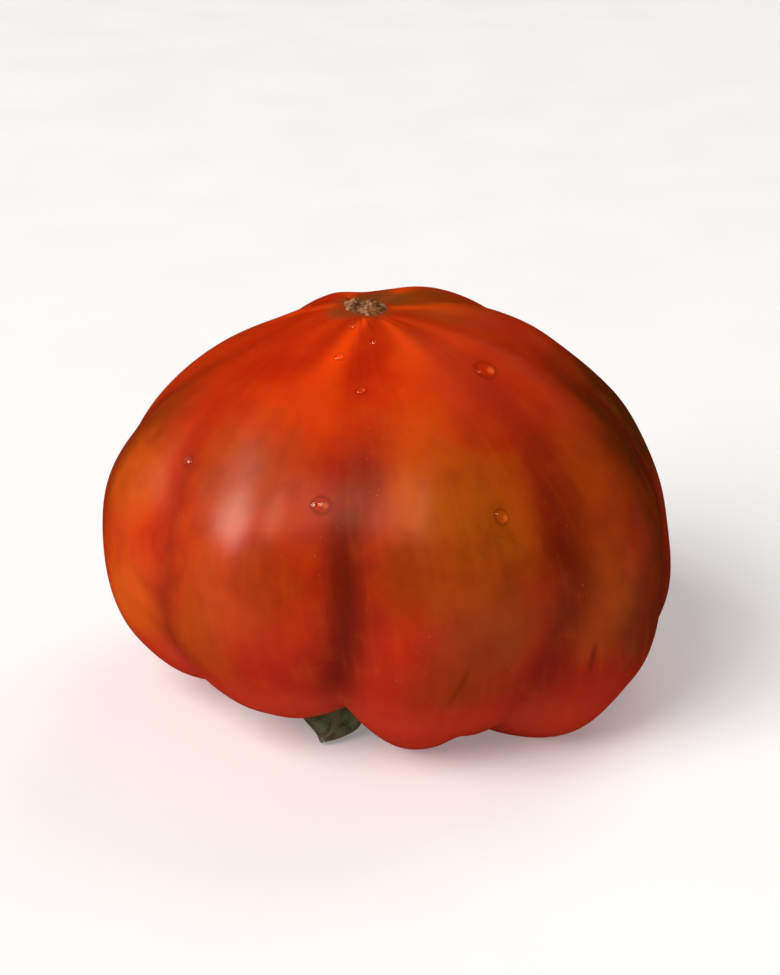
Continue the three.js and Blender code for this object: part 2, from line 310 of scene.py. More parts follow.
# %% Lumps, puckers and resting spots
draw = np.random.default_rng(7)
LUMP_COUNT = 26
LUMP_HEIGHT = 0.1
LUMP_DIRECTIONS = draw.normal(size=(LUMP_COUNT, 3))
LUMP_DIRECTIONS /= np.linalg.norm(LUMP_DIRECTIONS, axis=1, keepdims=True)
LUMP_LENGTHS = draw.uniform(9, 24, LUMP_COUNT)
LUMP_TURNS = draw.uniform(0, 2 * np.pi, LUMP_COUNT)
PUCKERS = [(19, 0.05), (27, 0.06), (34, 0.04)]
SCAR_PUCKERS = (0.02, 0.04, 0.05, 0.1)
HOLLOW_PUCKERS = (0.8, 0.88, 0.94, 1)
HOLLOW_DEEPER = 2.5
LUMPY_PART = (0, 0.03, 0.97, 1)
PUCKER_TURNS = draw.uniform(0, 2 * np.pi, len(PUCKERS))
FLOOR_SOFTNESS = 0.12


def lumps(points):
    """Soft lumps on the skin, in millimetres, the same at any call."""
    waves = points @ LUMP_DIRECTIONS.T * (2 * np.pi / LUMP_LENGTHS) + LUMP_TURNS
    return LUMP_HEIGHT * np.sin(waves).sum(-1) / math.sqrt(LUMP_COUNT)


def puckers(degrees, t):
    """Fine radial wrinkles round the scar and in the hollow."""
    shown = within(t, *SCAR_PUCKERS) + HOLLOW_DEEPER * within(t, *HOLLOW_PUCKERS)
    turn = np.radians(degrees)
    waves = sum(h * np.sin(n * turn + p) for (n, h), p in zip(PUCKERS, PUCKER_TURNS))
    return waves * shown


def fine_skin(degrees, t):
    """The skin with its lumps and puckers, pressed flat where it meets the table."""
    degrees, t = np.broadcast_arrays(np.asarray(degrees, float), np.asarray(t, float))
    points = skin(degrees, t)
    stand = (lumps(points) * within(t, *LUMPY_PART) + puckers(degrees, t))[..., None]
    points = points + outward(skin, degrees, t) * stand
    height = points[..., 2]
    points[..., 2] = (height + np.sqrt(height**2 + FLOOR_SOFTNESS**2)) / 2
    return points


print("the fine skin's waist in front is at", fine_skin(0, WAIST).round(1))

# %% [markdown]
# The mesh follows the ribs: every rib has the same number of columns from furrow to furrow, and they
# crowd towards the furrows, so the sharp valleys get the points that they need. The rows crowd a
# little towards the waist, which shows most. That keeps the piece under 200,000 triangles.

# %% The fruit's points
RIB_COLUMNS = 48
SKIN_ROWS = 236
CROWDING = 0.5
ROW_CROWDING = 0.035


def fruit_places():
    """Azimuth and t of each point of the fruit's mesh, row by row."""
    share = np.linspace(0, 1, SKIN_ROWS + 2)[1:-1]
    t = share + ROW_CROWDING * np.sin(2 * np.pi * share)
    across = np.arange(RIB_COLUMNS) / RIB_COLUMNS
    across = across - CROWDING * np.sin(2 * np.pi * across) / (2 * np.pi)
    edges = furrows_at(t)
    degrees = edges[:, :-1, None] + (edges[:, 1:] - edges[:, :-1])[..., None] * across
    degrees = degrees.reshape(len(t), -1)
    return degrees, np.broadcast_to(t[:, None], degrees.shape)


degrees, t = fruit_places()
fruit_points = fine_skin(degrees, t)
fruit_body = ringed_body(fruit_points, fine_skin(0, 0), fine_skin(0, 1))
print("the fruit has", len(fruit_body[1]), "faces")

# %% [markdown]
# Bright orange streaks run out from the tip, where the skin was stretched most. A stroke painted on a
# texture would do, but the finish can also be told where they are by a mark on each point: 1 on a
# streak and 0 off it. A row gives where a streak starts and ends, seen from above in millimetres, and
# how strong it is. It grows wider and fainter on its way.

# %% The streaks' mark
STREAKS = [
    (-3.4, -3, -11.8, -22, 1), (-1.4, -3.2, 7, -20.5, 1), (-6.5, -2, -17, -12, 0.3),
    (0.5, -1.6, 17, -12, 0.3), (-0.6, 1.5, 15, 5, 0.6), (-2, 4, 6, 22, 0.9),
    (-5, 4.4, -8, 21, 0.8), (-8, 2.4, -21, 12, 0.8),
]
STREAK_FADE = (-0.02, 0.08, 0.5, 1)
STREAK_WIDTH = 0.55
STREAK_WIDENING = 2.6


def streak_mark(points):
    """1 along the middle of a streak, and 0 away from all of them."""
    value = np.zeros(points.shape[:-1])
    for x0, y0, x1, y1, strength in STREAKS:
        start, way = np.array((x0, y0)), np.array((x1 - x0, y1 - y0))
        share = np.clip((points[..., :2] - start) @ way / (way @ way), 0, 1)
        away = np.linalg.norm(points[..., :2] - start - share[..., None] * way, axis=-1)
        width = STREAK_WIDTH + STREAK_WIDENING * share
        stroke = strength * np.exp(-((away / width) ** 2)) * within(share, *STREAK_FADE)
        value = np.maximum(value, stroke)
    return value


above_waist = 1 - ease((t - 0.3) / 0.1)
streak = streak_mark(fruit_points) * above_waist
print("points on a streak:", int((streak > 0.5).sum()))

# %% [markdown]
# A dark line follows the bottom of each furrow, with its own width in millimetres and its own
# strength; the line is partly the skin's own colour and partly painted shade. How far a point is from
# the nearest line is measured along the skin's own circle. The other marks are how deep in a furrow a
# point is, how far down the skin it is, and a direction that the fine stripes of the skin follow.

# %% The fruit's other marks
LINE_WIDTHS = np.array([2.4, 3.3, 3.8, 2.5, 2.8, 2.6, 2.8, 2.4])
LINE_SHIFTS = np.array([0, 0, 1.2, 0, 0, 0, 0, 0])
LINE_STRENGTHS = np.array([0.3, 1, 0.7, 0.5, 0.6, 0.6, 0.8, 0.5])


def with_poles(values, first, last):
    """A mark for a ringed body: the start point's value, the rings' and the end point's."""
    return np.concatenate([[first], values.ravel(), [last]])


rib, across_rib = rib_at(degrees, t)
nearest = np.where(across_rib < 0.5, rib, rib + 1) % len(FURROWS)
line_azimuth = np.take_along_axis(furrows_at(t), nearest[..., None], -1)[..., 0] + LINE_SHIFTS[nearest]
from_line = np.radians(np.abs(turned_from(degrees, line_azimuth))) * meridian(t)[0]
line = np.exp(-((from_line / LINE_WIDTHS[nearest]) ** 2)) * LINE_STRENGTHS[nearest]
turn = np.radians(degrees)
stripe = np.stack([np.sin(turn), np.cos(turn), t], -1).reshape(-1, 3)
fruit_marks = {
    "furrow": with_poles(groove_share(degrees, t), 0, 0),
    "line": with_poles(line, 0, 0),
    "down": with_poles(t, 0, 1),
    "streak": with_poles(streak, 0, 0),
    "stripe": np.vstack([[(0, 0, 0)], stripe, [(0, 0, 1)]]),
}
print("marks:", list(fruit_marks))

# %% [markdown]
# A finish is a small sum of masks and colours, and it reads best as a sum. So one class wraps a node's
# socket and overloads the arithmetic: writing a * 2 + b adds the Math nodes. A second class holds a
# material, and its one method adds any other node from its type, its settings and its sockets.

# %% Signals
class Signal:
    """A socket that can be used in a Python sum: each operator adds one Math node."""

    def __init__(self, finish, socket):
        self.finish = finish
        self.socket = socket

    def math(self, operation, *values):
        return self.finish.node("ShaderNodeMath", {"operation": operation}, dict(enumerate(values)))

    def __add__(self, other):
        return self.math("ADD", self, other)

    def __sub__(self, other):
        return self.math("SUBTRACT", self, other)

    def __rsub__(self, other):
        return self.math("SUBTRACT", other, self)

    def __mul__(self, other):
        return self.math("MULTIPLY", self, other)

    def __pow__(self, other):
        return self.math("POWER", self, other)

    __radd__ = __add__
    __rmul__ = __mul__

    def sine(self):
        return self.math("SINE", self)

    def between(self, low, high, start=0, end=1):
        """Turns low to high into start to end with soft ends, and holds the ends."""
        sockets = {"Value": self, "From Min": low, "From Max": high, "To Min": start, "To Max": end}
        return self.finish.node("ShaderNodeMapRange", {"interpolation_type": "SMOOTHSTEP"}, sockets)


print("a Signal understands:", [name for name in vars(Signal) if not name.startswith("_")])

# %% [markdown]
# Every piece of the tomato needs its own finish, and all of them are fed in the same way. Nodes could
# be wired one by one, but then each finish would be pages long. The class below starts from Blender's
# own Principled shader. A number that is the same all over goes straight onto the shader's socket, and
# what varies over the surface comes through a link. Noise, bumps and blends are one line each.

# %% Finishes
class Finish:
    """A material with one Principled shader, and the nodes that feed it."""

    def __init__(self, name, sockets):
        self.material = bpy.data.materials.new(name)
        self.material.use_nodes = True
        self.tree = self.material.node_tree
        self.shader = self.tree.nodes["Principled BSDF"]
        self.feed(self.shader, sockets)

    def feed(self, node, sockets):
        """Sets each socket of a node to a value, or links a signal to it."""
        for name, value in sockets.items():
            if isinstance(value, Signal):
                self.tree.links.new(value.socket, node.inputs[name])
            else:
                node.inputs[name].default_value = value

    def node(self, kind, settings, sockets, output=0):
        """Adds a node: its settings come first, then the values or links of its sockets."""
        made = self.tree.nodes.new(kind)
        for name, value in settings.items():
            setattr(made, name, value)
        self.feed(made, sockets)
        return Signal(self, made.outputs[output])

    def paint(self, sockets):
        self.feed(self.shader, sockets)

    def mark(self, name, output="Fac"):
        """A mark that the mesh keeps at its points."""
        return self.node("ShaderNodeAttribute", {"attribute_name": name}, {}, output)

    def vector(self, operation, a, b, output=0):
        return self.node("ShaderNodeVectorMath", {"operation": operation}, {0: a, 1: b}, output)

    def scaled(self, vector, amount):
        return self.node("ShaderNodeVectorMath", {"operation": "SCALE"}, {0: vector, "Scale": amount})

    def length(self, vector):
        return self.node("ShaderNodeVectorMath", {"operation": "LENGTH"}, {0: vector}, "Value")

    def distance(self, where, centre):
        """How far a place is from a point of the piece."""
        return self.vector("DISTANCE", where, tuple(centre), "Value")

    def place(self):
        """Where a point of the piece is, in millimetres."""
        spot = self.node("ShaderNodeTexCoord", {}, {}, "Object")
        return self.vector("MULTIPLY", spot, (1 / MM,) * 3)

    def noise(self, where, size, detail=2.0, roughness=0.5, output=0):
        """Soft noise whose lumps are about size across, in the units of where."""
        sockets = {"Vector": where, "Scale": 1 / size, "Detail": detail, "Roughness": roughness}
        return self.node("ShaderNodeTexNoise", {}, sockets, output)

    def blend(self, factor, a, b):
        """Colour a where factor is 0, and colour b where it is 1."""
        return self.node("ShaderNodeMix", {"data_type": "RGBA"}, {0: factor, 6: a, 7: b}, 2)

    def bump(self, height, distance, strength=1.0, below=None):
        """Normals from a height in millimetres times distance."""
        sockets = {"Height": height, "Distance": distance * MM, "Strength": strength}
        if below:
            sockets["Normal"] = below
        return self.node("ShaderNodeBump", {}, sockets)


def rgb(red, green, blue):
    """A screen colour from 0 to 255, as the linear colour that a shader takes."""
    def linear(value):
        value /= 255
        return value / 12.92 if value <= 0.04045 else ((value + 0.055) / 1.055) ** 2.4
    return (linear(red), linear(green), linear(blue), 1.0)


print("middle grey is", round(rgb(128, 128, 128)[0], 3), "to a shader")


# %% [markdown]
# A ripening tomato isn't one red. The tip end is ripe, orange red; the crowns of the front ribs still
# hold olive and brown green; the furrows are darker, with a purple tinge; the shoulders near the table
# are a deep crimson. Each of these is a patch with a soft, uneven edge. It could be painted by hand,
# but here each patch is a ball of influence round a place on the skin, and noise pushes its edge about.
# A row gives the patch's azimuth and t, its reach in millimetres, its colour and its strength. The
# back isn't in the picture: it gets the same olive, brown and orange as the sides that are. A few
# patches are partly painted shade and light: shade on the left edge and the right ribs, a highlight
# on the front rib and a reflection at the top of the central furrow.

# %% Colours of the skin
RIPE = rgb(190, 48, 3)
SCARLET = rgb(178, 30, 2)
GLOW = rgb(238, 68, 2)
ORANGE = rgb(202, 82, 6)
OLIVE = rgb(176, 82, 5)
# A dark olive brown, partly the skin's own colour and partly painted shade
MOSS_AND_SHADE = rgb(82, 43, 3)
UMBER = rgb(164, 62, 5)
AMBER = rgb(176, 74, 4)
CRIMSON = rgb(168, 28, 4)
GOLD = rgb(140, 62, 4)
# Partly painted shade: the plum at the bottom of the furrows
PLUM_AND_SHADE = rgb(80, 15, 4)
VIOLET = rgb(108, 22, 16)
WINE = rgb(96, 28, 3)
UMBER_DARK = rgb(112, 42, 5)
CHESTNUT = rgb(140, 50, 4)
BRONZE = rgb(152, 64, 5)
RUST = rgb(96, 22, 2)
PATCHES = [
    ("round the tip, left of the front", -22, 0.175, 11, GLOW, 0.45),
    ("round the tip, front", 22, 0.165, 12, GLOW, 0.45),
    ("between the streaks", 2, 0.125, 7, SCARLET, 0.9),
    ("left of the streaks", -42, 0.12, 10, SCARLET, 0.7),
    ("front rib, upper crown", 15, 0.225, 10, ORANGE, 0.5),
    ("front rib, olive crown", 22, 0.30, 13, OLIVE, 0.85),
    ("front rib, towards the furrow", 31, 0.33, 9, OLIVE, 0.6),
    ("front rib, brown foot", 7, 0.35, 10, CHESTNUT, 0.9),
    ("left rib, brown crown", -31, 0.26, 13, UMBER, 0.75),
    ("left rib, brown foot", -34, 0.39, 12, UMBER, 0.7),
    ("left rib, beside the furrow", -18, 0.36, 8, CHESTNUT, 0.6),
    # Partly painted shade: this patch darkens the left edge to brown, over the rib's own olive
    ("left edge, olive", -79, 0.30, 14, CHESTNUT, 0.8),
    ("left edge, orange", -66, 0.31, 9, ORANGE, 0.7),
    ("left edge, low", -63, 0.46, 12, ORANGE, 0.8),
    ("left rib, low", -41, 0.48, 11, UMBER, 0.7),
    # Painted highlight: a bright orange spot where the warm skylight's soft highlight lies on the front
    # rib
    ("front rib, orange shine", 7, 0.275, 7, ORANGE, 0.6),
    # Partly painted reflection: a violet sheen of the cool window light near the top of the central
    # furrow, over the furrow's own purple tinge
    ("furrow, violet", -2, 0.27, 9, VIOLET, 0.3),
    ("front rib, low crown", 24, 0.40, 11, BRONZE, 0.75),
    ("front rib, foot", 15, 0.47, 9, CHESTNUT, 0.6),
    ("beside the right furrow", 35, 0.29, 7, ORANGE, 0.5),
    # Partly painted shade: brown that darkens the right furrow
    ("right furrow, brown", 45, 0.36, 9, UMBER_DARK, 0.55),
    ("second right rib", 55, 0.30, 13, UMBER, 0.8),
    ("second right rib, low", 48, 0.41, 11, AMBER, 0.8),
    # Partly painted shade: the right ribs and the back right are darker than the skin's own olive brown
    ("third right rib", 85, 0.30, 17, MOSS_AND_SHADE, 0.9),
    ("third right rib, low", 68, 0.38, 9, MOSS_AND_SHADE, 0.6),
    ("right ribs, foot", 58, 0.46, 10, UMBER_DARK, 0.7),
    ("third right rib, foot", 76, 0.47, 13, UMBER_DARK, 0.8),
    ("behind the tip", 125, 0.10, 12, GOLD, 0.9),
    ("back right", 105, 0.28, 16, MOSS_AND_SHADE, 0.6),
    ("back", 150, 0.30, 16, OLIVE, 0.8),
    ("back, low", 140, 0.42, 12, UMBER, 0.7),
    ("back left", 192, 0.25, 14, ORANGE, 0.6),
    ("left back", 236, 0.34, 16, OLIVE, 0.8),
    ("left back, high", 225, 0.2, 10, UMBER, 0.6),
    ("left, near the edge", 275, 0.24, 12, CHESTNUT, 0.6),
]
print("patches:", len(PATCHES))

# %% [markdown]
# The fruit has been rinsed, and a few clear drops still stand on it. Each one is a lens: it draws the
# light from the left together on its right side, and leaves a darker ring at its edge. A renderer
# finds such caustics only slowly, so the two marks are part of the skin's colour under each drop.
# The rows give where a drop stands, its radius and its height.

# %% Where the drops stand
DROPS = [
    ("right of the tip", 55.8, 0.17, 1.7, 0.75), ("front rib", 29.5, 0.305, 1.2, 0.55),
    ("left of the furrow", -9.5, 0.28, 1.4, 0.45), ("left rib", -51.2, 0.262, 0.9, 0.35),
    ("near the tip", 11.5, 0.092, 0.6, 0.25), ("tip, front", 1, 0.158, 0.8, 0.3),
    ("tip, left", -11.8, 0.112, 0.7, 0.3), ("beside the scab", -8.8, 0.055, 0.5, 0.25),
    ("back rib", 148, 0.24, 1.3, 0.5), ("back left", 205, 0.31, 1.1, 0.45),
    ("left back", 232, 0.27, 1.3, 0.5), ("back, high", 192, 0.18, 0.9, 0.35),
]
AWAY_FROM_LIGHT = np.array((0.8, 0.2, -0.3)) * 0.55


def drop_light_and_shade(finish, place):
    """Two signals that are 1 in the painted dark rings and on the painted bright crescents of the drops.
    """
    rings, crescents = 0, 0
    for _, azimuth, at, radius, _ in DROPS:
        centre = fine_skin(azimuth, at)
        away = finish.distance(place, centre)
        ring = away.between(radius * 0.6, radius * 0.95) * away.between(radius * 1.3, radius)
        rings = ring + rings
        bright = finish.distance(place, centre + AWAY_FROM_LIGHT * radius)
        crescent = bright.between(radius * 0.5, radius * 0.15) * away.between(radius, radius * 0.8)
        crescents = crescent + crescents
    return rings, crescents


print("drops:", len(DROPS))

# %% [markdown]
# Low on the ribs the skin has a few short, dark creases, where it folded while the fruit swelled. They
# are too shallow to show in the outline, so they are colour. A crease is a ball that is stretched along
# a line: the distance to its middle counts less along the line than across it. A row gives its upper
# end and its lower end as places on the skin, its half width and its strength.

# %% The creases
SCARS = [
    ("crease, front rib", (17.5, 0.445), (13, 0.515), 1.0, 0.8),
    ("crease, second rib", (45, 0.45), (42, 0.5), 0.8, 0.6),
    ("crease, back rib", (140, 0.45), (143, 0.5), 0.8, 0.6),
    ("crease, left back", (231, 0.42), (228, 0.47), 0.7, 0.5),
]


def scar_marks(finish, place):
    """A signal that is 1 along the short dark creases."""
    creases = 0
    for _, above, below, half_width, strength in SCARS:
        top, foot = fine_skin(*above), fine_skin(*below)
        length = np.linalg.norm(foot - top)
        way = (foot - top) / length
        slimness = 1 - 2 * half_width / length
        from_middle = finish.vector("SUBTRACT", place, tuple((top + foot) / 2))
        along = finish.vector("DOT_PRODUCT", from_middle, tuple(way), "Value")
        shift = finish.scaled(tuple(way * slimness), along)
        away = finish.length(finish.vector("SUBTRACT", from_middle, shift))
        creases = away.between(half_width, half_width * 0.2, 0, strength) + creases
    return creases


print("creases:", len(SCARS))

# %% [markdown]
# The skin is thin and waxy over wet flesh. Light goes in, scatters a millimetre or two and comes back
# redder, which is what subsurface scattering does. The wax shines only on the upper half of the ribs'
# crowns. So the shader's own reflection is weak, or the pale table would lay a grey veil over the red,
# and a coat, which a mask holds to those crowns, carries the soft highlights. The numbers that are the
# same all over sit on the shader's own sockets. Then ripeness is mixed, and the patches go on in turn.

# %% The skin's base colour
skin_finish = Finish("tomato_skin", {
    "IOR": 1.4,
    "Specular IOR Level": 0.1,
    "Subsurface Weight": 0.15,
    "Subsurface Radius": (1.0, 0.2, 0.06),
    "Subsurface Scale": 2.0 * MM,
    "Coat Roughness": 0.28,
})
place = skin_finish.place()
drift = skin_finish.noise(place, 9, 4, 0.55, "Color")
drift = skin_finish.vector("SUBTRACT", drift, (0.5, 0.5, 0.5))
drifted = skin_finish.vector("ADD", place, skin_finish.vector("MULTIPLY", drift, (14, 14, 14)))
down = skin_finish.mark("down")
furrow = skin_finish.mark("furrow")
furrow_line_and_shade = skin_finish.mark("line")
on_streak = skin_finish.mark("streak")
stripe_mark = skin_finish.mark("stripe", "Vector")

ripeness = skin_finish.noise(place, 14, 3)
base = skin_finish.blend(ripeness.between(0.35, 0.65, 0.1, 0.6), RIPE, SCARLET)
base = skin_finish.blend(down.between(0.34, 0.5, 0, 0.85), base, CRIMSON)
for _, azimuth, at, reach, colour, strength in PATCHES:
    away = skin_finish.distance(drifted, fine_skin(azimuth, at))
    base = skin_finish.blend(away.between(reach * 0.25, reach * 1.2, strength, 0), base, colour)
print("nodes in the skin's finish:", len(skin_finish.tree.nodes))

# %% [markdown]
# Over the patches come the marks that follow the fruit's growth. The furrows are redder than the
# crowns, with a wide violet band and a dark line of plum at the bottom, both partly the skin's own
# colour and partly painted shade. Bright streaks run out from the tip, and fine pale and dark stripes
# run the whole way down each rib. The stripes are noise that is stretched along the meridian: its
# coordinate turns quickly round the fruit and slowly down it.

# %% Furrow lines, streaks and stripes
redder = furrow.between(0.45, 1.0) * down.between(0.03, 0.2, 0.5, 1)
base = skin_finish.blend(redder * 0.35, base, SCARLET)
# Partly painted shade: the violet band and the plum line darken the furrows towards their bottoms
soft_shade = furrow_line_and_shade**0.35 * down.between(0.14, 0.28)
base = skin_finish.blend(soft_shade * 0.35, base, VIOLET)
to_waist = down.between(0.18, 0.36)
base = skin_finish.blend(furrow_line_and_shade * to_waist * down.between(0.36, 0.52, 0.8, 0.6), base, PLUM_AND_SHADE)
base = skin_finish.blend(on_streak * 0.9, base, GLOW)
stretched = skin_finish.vector("MULTIPLY", stripe_mark, (1, 1, 0.3))
stripes = skin_finish.noise(stretched, 0.03, 3, 0.6)
base = skin_finish.blend(stripes.between(0.5, 0.75, 0, 0.1), base, ORANGE)
base = skin_finish.blend(stripes.between(0.5, 0.25, 0, 0.12), base, RUST)
print("nodes in the skin's finish:", len(skin_finish.tree.nodes))

# %% [markdown]
# Close up, the skin has tiny pale flecks and mottling a few millimetres wide. The flecks are the cells
# of a Voronoi texture, kept only where a second noise allows them, so they come in uneven crowds.

# %% Flecks and mottling
FLECK = rgb(226, 150, 84)
FLECK_SPACING = 1.3
mottle = skin_finish.noise(place, 4.2, 3, 0.5)
unripe_band = down.between(0.16, 0.26) * down.between(0.5, 0.36)
base = skin_finish.blend(mottle.between(0.5, 0.75, 0, 0.14), base, ORANGE)
base = skin_finish.blend(mottle.between(0.55, 0.25) * (unripe_band * 0.17 + 0.07), base, RUST)
cell_sockets = {"Vector": place, "Scale": 1 / FLECK_SPACING}
cells = skin_finish.node("ShaderNodeTexVoronoi", {}, cell_sockets, "Distance")
crowds = skin_finish.noise(place, 6, 2).between(0.5, 0.66)
flecks = cells.between(0.14, 0.05) * crowds
base = skin_finish.blend(flecks * 0.2, base, FLECK)
print("nodes in the skin's finish:", len(skin_finish.tree.nodes))

# %% [markdown]
# Some places have a colour of their own: green in the stem hollow, and brown cork round the scab and
# behind it, where the skin has dried. The pink on the shoulders, where they turn under and face the
# table, is painted light: the table's bounce. The creases go on last, over everything, and with them
# the drops' painted dark rings and bright crescents.

# %% Painted table light, hollow, cork and marks
TABLE_BOUNCE_PINK = rgb(196, 56, 34)
HOLLOW_GREEN = rgb(128, 110, 40)
CORK = rgb(112, 66, 26)
GLINT = rgb(250, 120, 50)
BEHIND_SCAB = (160, 0.05)
# Painted light: pink where the shoulders turn under and face the bright table
table_bounce = down.between(0.49, 0.57, 0, 0.5) * down.between(0.75, 0.65)
base = skin_finish.blend(table_bounce, base, TABLE_BOUNCE_PINK)
base = skin_finish.blend(down.between(0.8, 0.93, 0, 0.8), base, HOLLOW_GREEN)
near_scab = down.between(0.055, 0.03) * mottle.between(0.35, 0.6)
base = skin_finish.blend(near_scab * 0.6, base, CORK)
behind_scab = skin_finish.distance(drifted, fine_skin(*BEHIND_SCAB))
base = skin_finish.blend(behind_scab.between(2.5, 7.5, 0.75, 0), base, CORK)
base = skin_finish.blend(scar_marks(skin_finish, place), base, RUST)
# Painted shade and light: a dark ring at each drop's edge and a bright crescent of focused light
rings, crescents = drop_light_and_shade(skin_finish, place)
base = skin_finish.blend(rings * 0.45, base, RUST)
base = skin_finish.blend(crescents * 0.45, base, GLINT)
print("nodes in the skin's finish:", len(skin_finish.tree.nodes))

# %% [markdown]
# The last layer is gloss. The roughness wanders a little, the coat lies only on the upper crowns, and
# two bumps, a slow one from the mottling and a very fine orange peel, break up the highlights. Bump
# is enough for these: they are a few hundredths of a millimetre high.

# %% Gloss, and the skin itself
gloss = skin_finish.noise(place, 3.5, 3).between(0.3, 0.7, 0.3, 0.38)
wax = furrow.between(0.36, 0.12) * down.between(0.12, 0.2) * down.between(0.5, 0.36)
peel = skin_finish.noise(place, 0.55, 2)
lumpy = skin_finish.bump(mottle, 0.12, 0.5)
skin_finish.paint({
    "Base Color": base,
    "Roughness": gloss,
    "Coat Weight": wax * 0.22 + 0.03,
    "Normal": skin_finish.bump(peel + flecks * 0.5, 0.02, 0.5, lumpy),
})
make_piece("fruit_skin", fruit_body, skin_finish.material, "fruit", fruit_marks)

# %% [markdown]
# At the tip the dried flower left a scab: a brown, corky crust with three lumps, a ragged edge and
# pale flecks. It could be a painted disc, but it catches the light from the side, so it is a small mesh
# that grows out of the skin, a little off the tip. Its underside is sunk into the fruit, so no gap shows
# round it. Each lump has a direction, a distance, a width and a rise, with a dent round its foot.

# %% The blossom scab
SCAB_RADIUS = 3.8
SCAB_SUNK = 0.3
SCAB_SHIFT = (0.9, 1.3)
SCAB_CIRCLES = 44
SCAB_SECTORS = 144
SCAB_LUMPS = [(-105, 1.7, 1.3, 0.8), (75, 1.4, 1.6, 0.45), (-15, 1.3, 0.8, 0.2)]
SCAB_WAVES = 22
crust_directions = draw.normal(size=(SCAB_WAVES, 2))
crust_directions /= np.linalg.norm(crust_directions, axis=1, keepdims=True)
crust_lengths = draw.uniform(0.7, 2.4, SCAB_WAVES)
crust_turns = draw.uniform(0, 2 * np.pi, SCAB_WAVES)
CRUST_HEIGHT = 0.3
CRUST_GRAIN = 0.12
LEAST_HEIGHT = 0.05
DENT = 0.3
RIM = 0.8
RIM_SUNK = 0.08
TIP_T = np.linspace(0, 0.12, 60)
TIP_RADII = meridian(TIP_T)[0]


def tip_skin(turn, radius):
    """The skin at a distance from the scab's centre, in a direction."""
    x = SCAB_SHIFT[0] + radius * np.sin(turn)
    y = SCAB_SHIFT[1] - radius * np.cos(turn)
    return fine_skin(np.degrees(np.arctan2(x, -y)), np.interp(np.hypot(x, y), TIP_RADII, TIP_T))


def scab_edge(turn):
    """The radius of the scab in a direction: an oval with a ragged edge."""
    ragged = 0.06 * np.sin(5 * turn) + 0.03 * np.sin(11 * turn + 1) + 0.02 * np.sin(19 * turn)
    return SCAB_RADIUS * (1 + 0.12 * np.sin(2 * turn + 0.6) + ragged)


def crust(turn, share):
    """How high the scab stands over the skin."""
    x = share * scab_edge(turn) * np.sin(turn)
    y = -share * scab_edge(turn) * np.cos(turn)
    waves = np.stack([x, y], -1) @ crust_directions.T * (2 * np.pi / crust_lengths) + crust_turns
    grain = np.sin(waves).sum(-1) / math.sqrt(SCAB_WAVES)
    height = CRUST_HEIGHT + CRUST_GRAIN * grain
    for azimuth, away, width, rise in SCAB_LUMPS:
        centre = away * np.array([np.sin(np.radians(azimuth)), -np.cos(np.radians(azimuth))])
        near = np.hypot(x - centre[0], y - centre[1]) / width
        height = height + rise * np.exp(-(near**2)) - DENT * np.exp(-(((near - 1.35) / 0.25) ** 2))
    to_rim = ease((share - RIM) / (1 - RIM))
    return np.maximum(height, LEAST_HEIGHT) * (1 - to_rim) - RIM_SUNK * to_rim


UP = np.array([0.0, 0.0, 1.0])
share = np.linspace(0, 1, SCAB_CIRCLES + 1)[1:, None]
sector = (2 * np.pi * np.arange(SCAB_SECTORS) / SCAB_SECTORS)[None]
share, sector = np.broadcast_arrays(share, sector)
scab_skin = tip_skin(sector, share * scab_edge(sector))
scab_top = scab_skin + UP * crust(sector, share)[..., None]
scab_under = scab_skin[::-6] - UP * SCAB_SUNK
scab_middle = tip_skin(0.0, 0.0)
scab_body = ringed_body(
    np.concatenate([scab_top, scab_under]),
    scab_middle + UP * float(crust(np.array(0.0), np.array(0.0))),
    scab_middle - UP * SCAB_SUNK,
)
print("the scab's crust is up to", round(float(crust(sector, share).max()), 2), "mm high")

# %% [markdown]
# Dry cork is matt, and its colour follows its grain: dark in the pits, straw brown on the crumbs, with
# a few pale grey flakes. One noise therefore drives the colour, the roughness and the bump together.

# %% The scab's finish
BARK = rgb(72, 38, 12)
STRAW = rgb(132, 76, 32)
LICHEN = rgb(182, 130, 96)
PIT = rgb(38, 22, 10)
scab_finish = Finish("blossom_scab", {"Specular IOR Level": 0.3})
place = scab_finish.place()
grain = scab_finish.noise(place, 1.2, 5, 0.65)
base = scab_finish.blend(grain.between(0.35, 0.62), BARK, STRAW)
flakes = scab_finish.noise(place, 1.5, 4, 0.6).between(0.52, 0.62)
base = scab_finish.blend(flakes * 0.8, base, LICHEN)
base = scab_finish.blend(grain.between(0.4, 0.3, 0, 0.8), base, PIT)
scab_finish.paint({
    "Base Color": base,
    "Roughness": grain.between(0.3, 0.7, 0.95, 0.7),
    "Normal": scab_finish.bump(grain, 0.2, 0.6),
})
make_piece("blossom_scab", scab_body, scab_finish.material, "blossom_remnant")

# %% [markdown]
# Under the fruit, nine wilted sepals spread from a small green disc, and they have to fit between the
# fruit and the table. They could be placed by eye, but then they would cut through the skin. So the
# first thing to make is a measure: how high the skin hangs over any place near the hollow. It is found
# by halving, as one looks up a word in a dictionary.

# %% The height of the skin over a place near the hollow
RECEPTACLE_RADIUS = 4.6
RECEPTACLE_HEIGHT = 2.4
CLEARANCE = 0.35
HALVINGS = 22
hollow_top = float(skin(0, 1)[2]) - CLEARANCE


